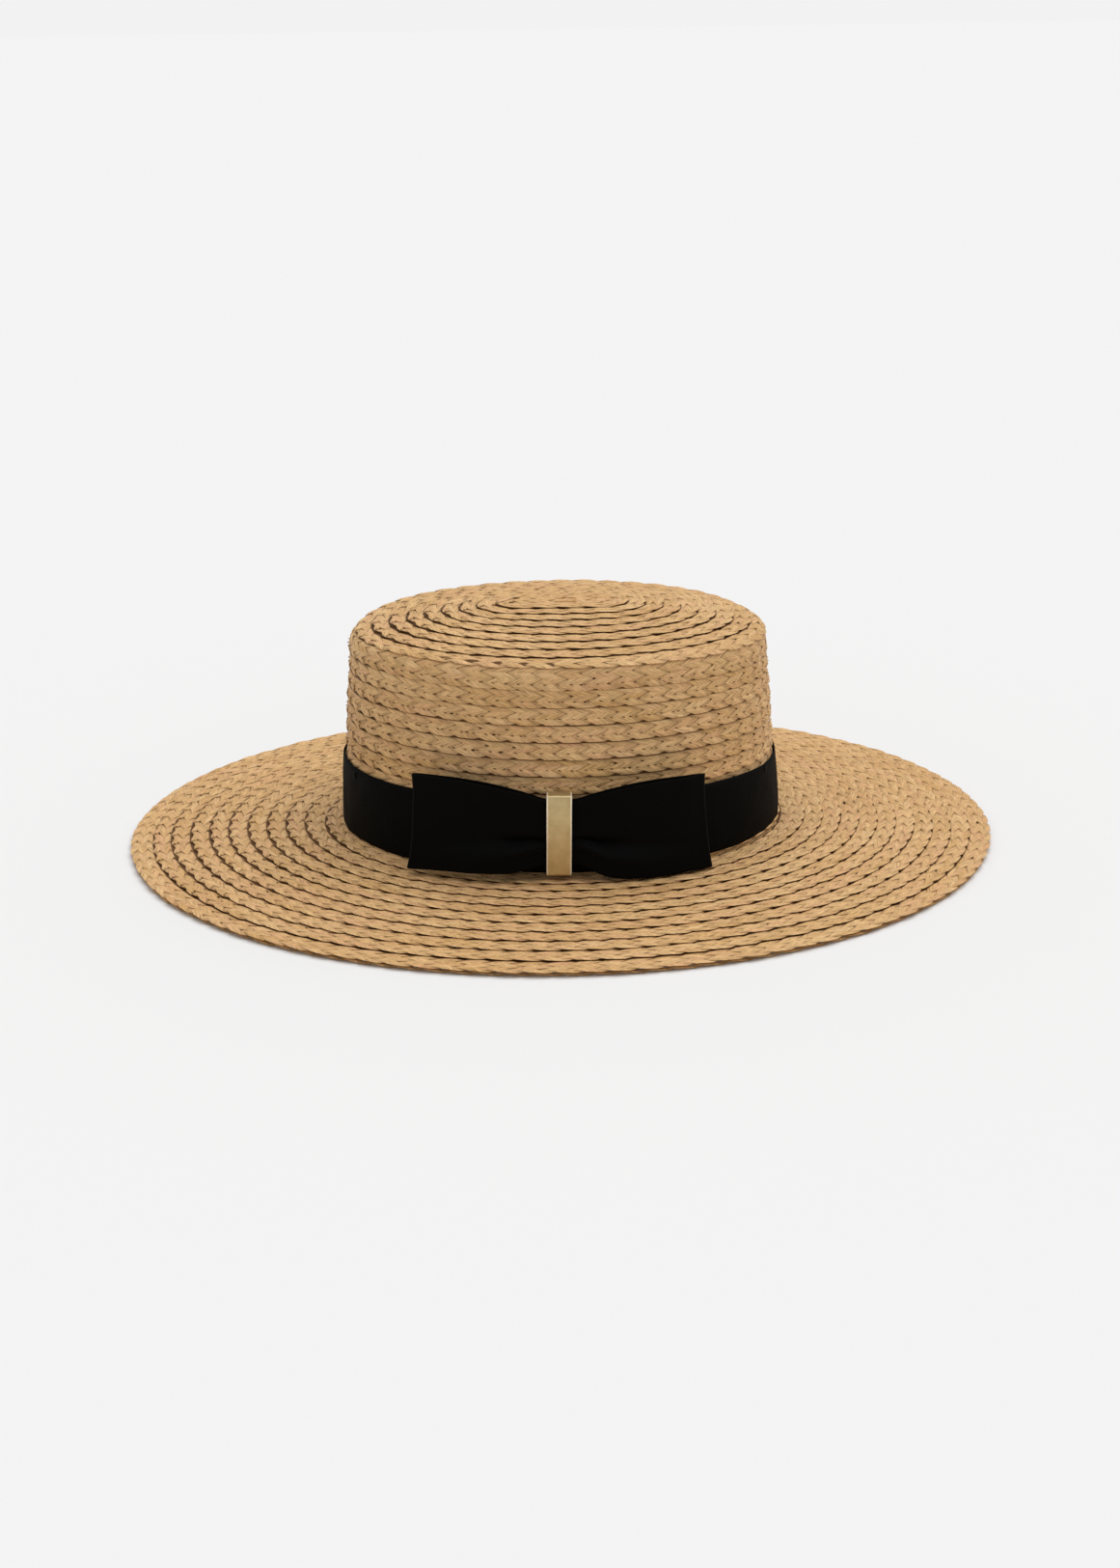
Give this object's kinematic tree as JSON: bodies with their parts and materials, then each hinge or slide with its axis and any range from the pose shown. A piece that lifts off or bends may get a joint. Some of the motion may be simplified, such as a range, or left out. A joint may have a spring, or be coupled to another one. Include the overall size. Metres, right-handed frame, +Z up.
{
  "type": "straw sun hat",
  "caption": "Wide-brimmed straw sun hat with a flat-topped oval crown, a dark ribbon hatband and a flat ribbon bow held by a metal clip.",
  "frame": {"origin": "centre of the rim oval, on the plane the rim rests on", "axes": "+Z up through the crown, X along the long axis of the head oval, the bow on the -Y side"},
  "size_m": [0.4092, 0.354, 0.1132],
  "materials": {
    "straw": "natural plaited straw braid, matt with a slight sheen",
    "nylon": "clear nylon wire",
    "straw_thread": "straw-coloured sewing thread",
    "black_grosgrain": "black ribbed ribbon with a fine cross rib",
    "black_thread": "black sewing thread",
    "satin_brass": "brushed pale brass plate with bright bevelled edges",
    "sweatband_cotton": "woven cotton band, straw coloured",
    "label_cloth": "plain woven tag, blank"
  },
  "bodies": {
    "root": {"crown_tip": "straw", "side_crown": "straw", "brim": "straw", "rim_under_row": "straw", "brim_edge_wire": "nylon", "headline_seam": "straw_thread", "hatband_ribbon": "black_grosgrain", "tack_left": "black_thread", "tack_right": "black_thread", "tack_back": "black_thread", "bow_loops": "black_grosgrain", "bow_clip": "satin_brass", "bow_stitch_left": "black_thread", "bow_stitch_right": "black_thread", "sweatband": "sweatband_cotton", "sweatband_seam": "straw_thread", "size_label": "label_cloth"}
  },
  "joints": []
}
